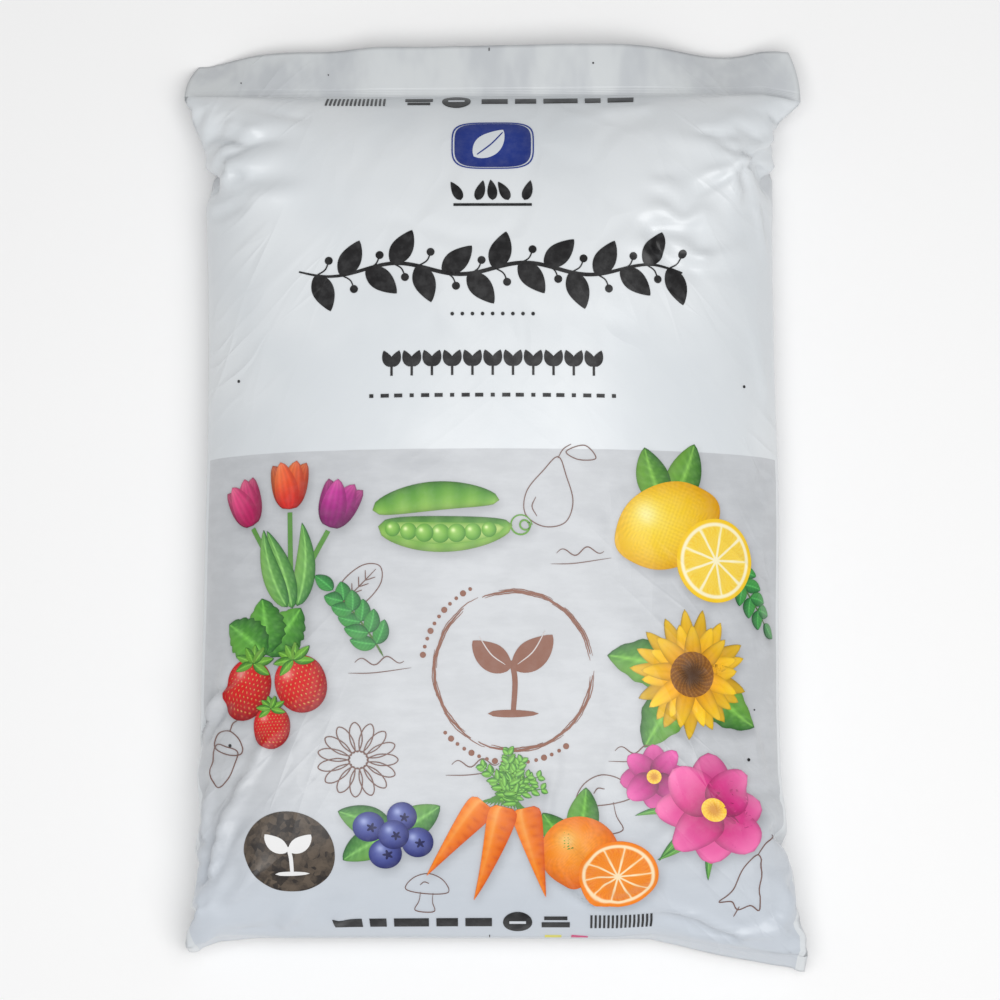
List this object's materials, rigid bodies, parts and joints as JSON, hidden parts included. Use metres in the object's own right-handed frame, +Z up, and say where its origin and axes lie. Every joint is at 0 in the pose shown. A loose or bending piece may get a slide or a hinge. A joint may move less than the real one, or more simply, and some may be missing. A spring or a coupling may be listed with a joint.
{
  "type": "compost bag",
  "caption": "Filled plastic-film sack of light potting compost, heat-sealed at both ends, lying flat on its back.",
  "frame": {"origin": "middle of the underside's bounding box, on the surface that the bag lies on", "axes": "+Z up out of the printed front, +Y along the bag towards the top of the print, +X to the right of the print"},
  "size_m": [0.386, 0.566, 0.0966],
  "materials": {
    "printed_film": "opaque white polyethylene film with a soft satin gloss, a pale grey lower field and coloured print"
  },
  "bodies": {
    "root": {"soil_bag": "printed_film"}
  },
  "joints": []
}
